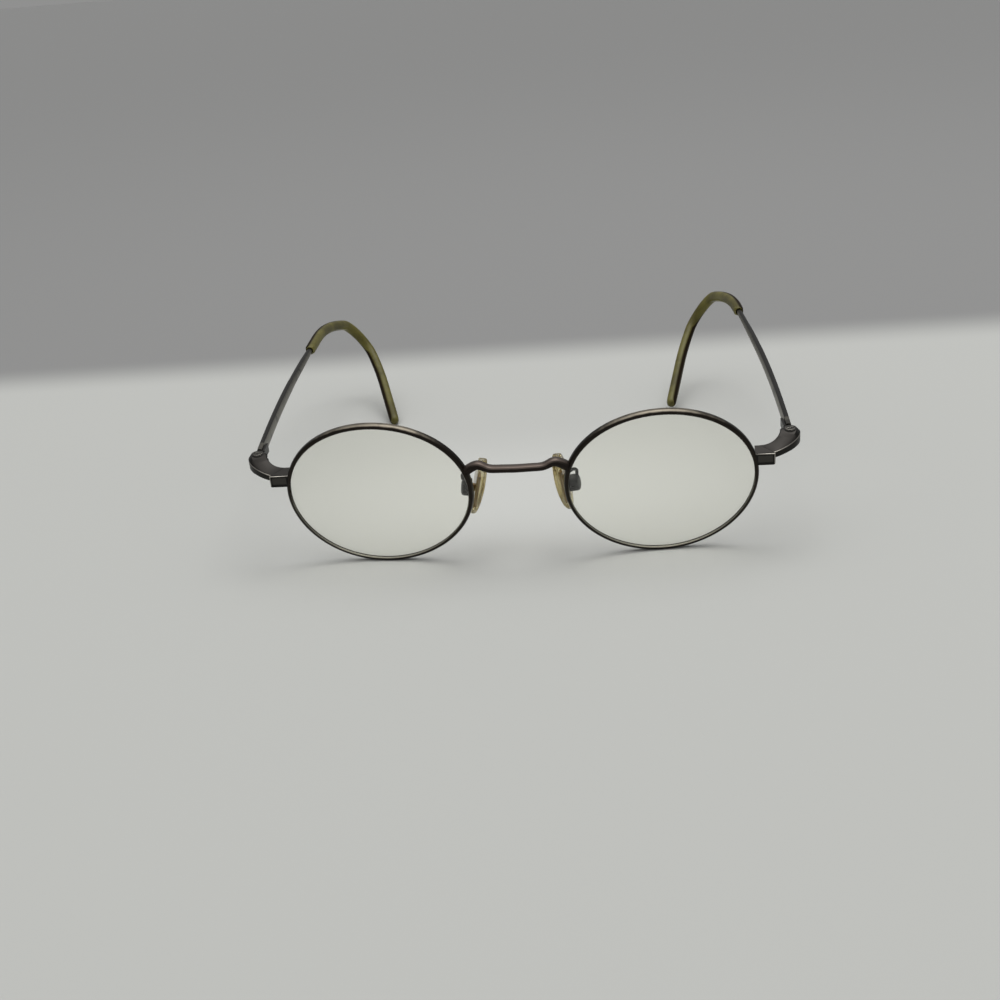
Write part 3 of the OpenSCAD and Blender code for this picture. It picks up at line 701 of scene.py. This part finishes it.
bump = add(temple_plate, "ShaderNodeBump",
           {"Height": mottle.outputs["Fac"], "Strength": 0.25, "Distance": 0.00003})
temple_plate.node_tree.links.new(tone.outputs["Result"], shader.inputs["Base Color"])
temple_plate.node_tree.links.new(bump.outputs["Normal"], shader.inputs["Normal"])
shader.inputs["Metallic"].default_value = 1
shader.inputs["Roughness"].default_value = 0.38

for side in SIDES:
    struck(side + "_tongue", side + "_hinge_leaf", "frame_metal", dark_plate, edge=0.00005)
    drawn_wire(side + "_temple_strip", side + "_temple", "temple_metal", temple_plate,
               fuller=TEMPLE_FULLER, until=FULL_UNTIL)

# Ear sleeves
#
# Each is an extruded tube of cellulose plastic, pushed over the core and bent with it over
# heat.

SLEEVE_PALE = "726c33"
SLEEVE_DEEP = "554f1f"
SLEEVE_EDGE_SHADE = "1f170d"
CLOUD_MM = 6.25
SLEEVE_FULLER = 0.0002

# Cellulose acetate that was clear: now a translucent olive, cloudy in places, with a dark
# brown line of painted shade along the edges of its outward side, standing for the dark
# refraction at the tube's edges.
sleeve_plastic, shader, place = blank_material("aged_olive_cellulose")
cloud = add(sleeve_plastic, "ShaderNodeTexNoise",
            {"Vector": place, "Scale": 1000 / CLOUD_MM, "Detail": 3})
cloudy = add(sleeve_plastic, "ShaderNodeMapRange",
             {"Value": cloud.outputs["Fac"], "From Min": 0.35, "From Max": 0.65},
             interpolation_type="SMOOTHSTEP")
olive = add(sleeve_plastic, "ShaderNodeMix",
            {"Factor": cloudy.outputs["Result"], "A": linear(SLEEVE_DEEP),
             "B": linear(SLEEVE_PALE)}, data_type="RGBA")
facing = add(sleeve_plastic, "ShaderNodeTexCoord").outputs["Normal"]
facing = add(sleeve_plastic, "ShaderNodeSeparateXYZ", {0: facing})
which = add(sleeve_plastic, "ShaderNodeSeparateXYZ", {0: place}).outputs["X"]
which = add(sleeve_plastic, "ShaderNodeMath", {0: which}, operation="SIGN")
outward = add(sleeve_plastic, "ShaderNodeMath",
              {0: facing.outputs["X"], 1: which.outputs[0]}, operation="MULTIPLY")
outward = add(sleeve_plastic, "ShaderNodeMath",
              {0: facing.outputs["Y"], 1: 0.55, 2: outward.outputs[0]},
              operation="MULTIPLY_ADD")
outward = add(sleeve_plastic, "ShaderNodeMath",
              {0: facing.outputs["Z"], 1: 0.25, 2: outward.outputs[0]},
              operation="MULTIPLY_ADD")
# Painted shade: a dark band along the edges of the outward side, less clear and less glossy.
edge_in = add(sleeve_plastic, "ShaderNodeMapRange",
              {"Value": outward.outputs[0], "From Min": 0.02, "From Max": 0.42},
              interpolation_type="SMOOTHSTEP")
edge_out = add(sleeve_plastic, "ShaderNodeMapRange",
               {"Value": outward.outputs[0], "From Min": 0.75, "From Max": 1.08,
                "To Min": 1, "To Max": 0.3}, interpolation_type="SMOOTHSTEP")
painted_edge_shade = add(sleeve_plastic, "ShaderNodeMath",
              {0: edge_in.outputs["Result"], 1: edge_out.outputs["Result"]},
              operation="MULTIPLY")
olive_and_edge_shade = add(sleeve_plastic, "ShaderNodeMix",
           {"Factor": painted_edge_shade.outputs[0], "A": olive.outputs["Result"],
            "B": linear(SLEEVE_EDGE_SHADE)}, data_type="RGBA")
clearer = add(sleeve_plastic, "ShaderNodeMapRange",
              {"Value": painted_edge_shade.outputs[0], "To Min": 0.2, "To Max": 0})
shine = add(sleeve_plastic, "ShaderNodeMapRange",
            {"Value": painted_edge_shade.outputs[0], "To Min": 0.25, "To Max": 0.03})
links = sleeve_plastic.node_tree.links
links.new(olive_and_edge_shade.outputs["Result"], shader.inputs["Base Color"])
links.new(clearer.outputs["Result"], shader.inputs["Transmission Weight"])
links.new(shine.outputs["Result"], shader.inputs["Specular IOR Level"])
shader.inputs["Roughness"].default_value = 0.42
shader.inputs["IOR"].default_value = 1.48

for side in SIDES:
    drawn_wire(side + "_sleeve_tube", side + "_ear_sleeve", "sleeve_plastic", sleeve_plastic,
               fuller=SLEEVE_FULLER)

# Pad arms, boxes and screws
#
# A bent wire brazed to each eyewire carries a small round box, pressed from sheet, slotted for
# the pad and crossed by a screw.

CAP_ARRIS = 0.0007

# The same plate on the pad arms and boxes, made darker still: nearly black, with no rubbed
# edges.
box_plate = plating("darkest_pewter_plate", "21201e", "2a2927", 0.42)
for side in SIDES:
    drawn_wire(side + "_pad_wire", side + "_pad_arm", "frame_metal", box_plate)
    bm = merged_copy(side + "_pad_box")
    bmesh.ops.dissolve_limit(bm, angle_limit=math.radians(1), verts=bm.verts, edges=bm.edges)
    cap = max(bm.faces, key=lambda f: f.calc_area())
    file_edges(bm, cap.edges[:], CAP_ARRIS)
    place_piece(bm, side + "_pad_cup", side + "_pad_box", "frame_metal", box_plate)
    struck(side + "_pad_pivot", side + "_pad_screw", "screw_steel", screw_steel, edge=0.00003)

# Nose pads
#
# Each is a soft clear plastic oval, moulded round a stiff core plate whose lug sits in the
# pad box.

CORE_MOTTLE_MM = 1.67
STREAK_MM = 1.43
PAD_FULLER = 0.0002
PAD_GRAIN = 0.00018

# Hard brown plastic, moulded: a mottled brown patch seen through the pad.
core_plastic, shader, place = blank_material("brown_core_plastic")
mottle = add(core_plastic, "ShaderNodeTexNoise",
             {"Vector": place, "Scale": 1000 / CORE_MOTTLE_MM, "Detail": 3})
brown = add(core_plastic, "ShaderNodeMix",
            {"Factor": mottle.outputs["Fac"], "A": linear("6f4e26"), "B": linear("a98a52")},
            data_type="RGBA")
core_plastic.node_tree.links.new(brown.outputs["Result"], shader.inputs["Base Color"])
shader.inputs["Roughness"].default_value = 0.4

# Soft vinyl, moulded glossy: yellowed with age, in streaks that run up the pad.
pad_plastic, shader, place = blank_material("yellowed_clear_vinyl")
drawn = add(pad_plastic, "ShaderNodeMapping", {0: place, "Scale": (1, 1, 0.3)})
streak = add(pad_plastic, "ShaderNodeTexNoise",
             {"Vector": drawn.outputs[0], "Scale": 1000 / STREAK_MM, "Detail": 2})
streak = add(pad_plastic, "ShaderNodeMapRange",
             {"Value": streak.outputs["Fac"], "From Min": 0.4, "From Max": 0.62},
             interpolation_type="SMOOTHSTEP")
yellow = add(pad_plastic, "ShaderNodeMix",
             {"Factor": streak.outputs["Result"], "A": linear("c9b778"),
              "B": linear("e9e0bd")}, data_type="RGBA")
pad_plastic.node_tree.links.new(yellow.outputs["Result"], shader.inputs["Base Color"])
shader.inputs["Roughness"].default_value = 0.1
shader.inputs["Transmission Weight"].default_value = 0.82
shader.inputs["IOR"].default_value = 1.48

for side in SIDES:
    struck(side + "_core_plate", side + "_pad_core", "pad_core_plastic", core_plastic,
           edge=0.00006)
    bm = merged_copy(side + "_nose_pad")
    kept = set(bmesh.ops.convex_hull(bm, input=bm.verts)["geom"])
    bmesh.ops.delete(bm, geom=[f for f in bm.faces if f not in kept], context="FACES")
    bmesh.ops.delete(bm, geom=[v for v in bm.verts if not v.link_faces], context="VERTS")
    bmesh.ops.recalc_face_normals(bm, faces=bm.faces)
    bm.normal_update()
    for vert in bm.verts:
        vert.co += vert.normal * PAD_FULLER
    piece = place_piece(bm, side + "_pad_oval", side + "_nose_pad", "pad_plastic", pad_plastic)
    cast = piece.modifiers.new("cast", "REMESH")
    cast.mode = "VOXEL"
    cast.voxel_size = PAD_GRAIN
    cast.use_smooth_shade = True
    rounded = piece.modifiers.new("rounded", "SMOOTH")
    rounded.factor = 0.5
    rounded.iterations = 24
